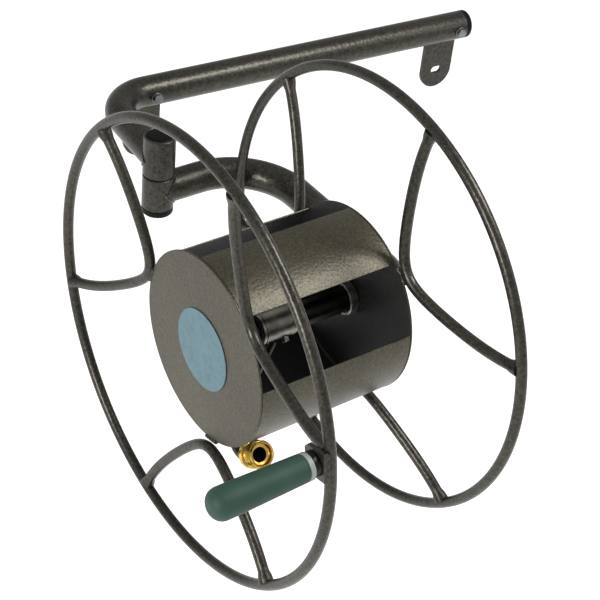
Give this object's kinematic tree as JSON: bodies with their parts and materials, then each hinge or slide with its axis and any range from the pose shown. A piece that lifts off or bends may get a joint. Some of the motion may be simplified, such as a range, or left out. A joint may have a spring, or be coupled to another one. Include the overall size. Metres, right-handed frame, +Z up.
{
  "type": "wall-mounted hose reel",
  "caption": "Swinging wall-mounted garden hose reel: rod rims and spokes on a slatted drum, bent tube arm, wall bracket, crank grip and brass outlet.",
  "frame": {"origin": "on the wall plane, at the middle of the left wall tab's back face and level with the swing arm's tube", "axes": "+X along the wall tube, from the pivot towards its free end; +Y into the wall; +Z up"},
  "size_m": [0.6764, 0.6293, 0.4432],
  "materials": {
    "hammertone": "dark bronze-grey hammertone powder coat, satin",
    "drum_sheet": "dark bronze-grey speckled powder coat on sheet steel",
    "black_plastic": "moulded black, semi-matt",
    "zinc": "bright zinc plate",
    "brass": "machined, clean",
    "plated_steel": "dull nickel plate",
    "green_grip": "moulded dark green, fine grain",
    "nylon": "natural nylon, pale grey-green",
    "rubber": "black seal rubber",
    "black_steel": "black oxide, satin",
    "label_blue": "pale blue printed vinyl"
  },
  "bodies": {
    "wall_bracket": {"wall_tube": "hammertone", "wall_tab_left": "hammertone", "wall_tab_right": "hammertone", "tab_bolt_left": "zinc", "tab_bolt_right": "zinc", "wall_tube_end_cap": "black_plastic", "bracket_sleeve": "hammertone", "pivot_bush_lower": "nylon", "pivot_bush_upper": "nylon", "sleeve_top_plug": "black_plastic"},
    "swing_arm": {"arm_sleeve": "hammertone", "arm_tube": "hammertone", "sleeve_bottom_cap": "black_plastic", "pivot_pin": "zinc", "pivot_washer": "black_plastic", "pivot_nut": "zinc", "spindle_pipe": "black_steel", "spindle_end_plate": "hammertone", "inlet_pipe": "plated_steel"},
    "inlet_coupling": {"inlet_coupling": "brass"},
    "reel": {"front_rim": "hammertone", "front_spoke_1": "hammertone", "front_spoke_2": "hammertone", "front_spoke_3": "hammertone", "rear_rim": "hammertone", "rear_spoke_1": "hammertone", "rear_spoke_2": "hammertone", "rear_spoke_3": "hammertone", "front_disc": "hammertone", "rear_disc": "hammertone", "drum_slat_1": "drum_sheet", "drum_slat_2": "drum_sheet", "drum_slat_3": "drum_sheet", "drum_slat_4": "drum_sheet", "front_bearing": "plated_steel", "rear_bearing": "plated_steel", "front_label": "label_blue", "outlet_fitting": "brass", "swivel_body": "plated_steel", "swivel_set_screw": "zinc", "swivel_seal_front": "rubber", "swivel_seal_rear": "rubber", "outlet_pipe": "black_steel", "handle_plate": "hammertone", "handle_stud": "black_steel"},
    "grip": {"grip": "green_grip", "grip_ring": "nylon"}
  },
  "joints": [
    {"name": "swing_pivot", "type": "hinge", "parent": "wall_bracket", "child": "swing_arm", "pos_m": [-0.052, -0.1462, 0], "axis": [0, 0, 1], "range_deg": [-80, 80]},
    {"name": "reel_spin", "type": "hinge", "parent": "swing_arm", "child": "reel", "pos_m": [-0.03318, -0.39649, 0.0114], "axis": [0.9972, 0.075, 0], "continuous": true},
    {"name": "grip_spin", "type": "hinge", "parent": "reel", "child": "grip", "pos_m": [-0.01795, -0.59907, 0.05606], "axis": [0.9972, 0.075, 0], "continuous": true},
    {"name": "coupling_spin", "type": "hinge", "parent": "swing_arm", "child": "inlet_coupling", "pos_m": [0.08694, -0.32829, 0], "axis": [0, 0, 1], "continuous": true}
  ]
}
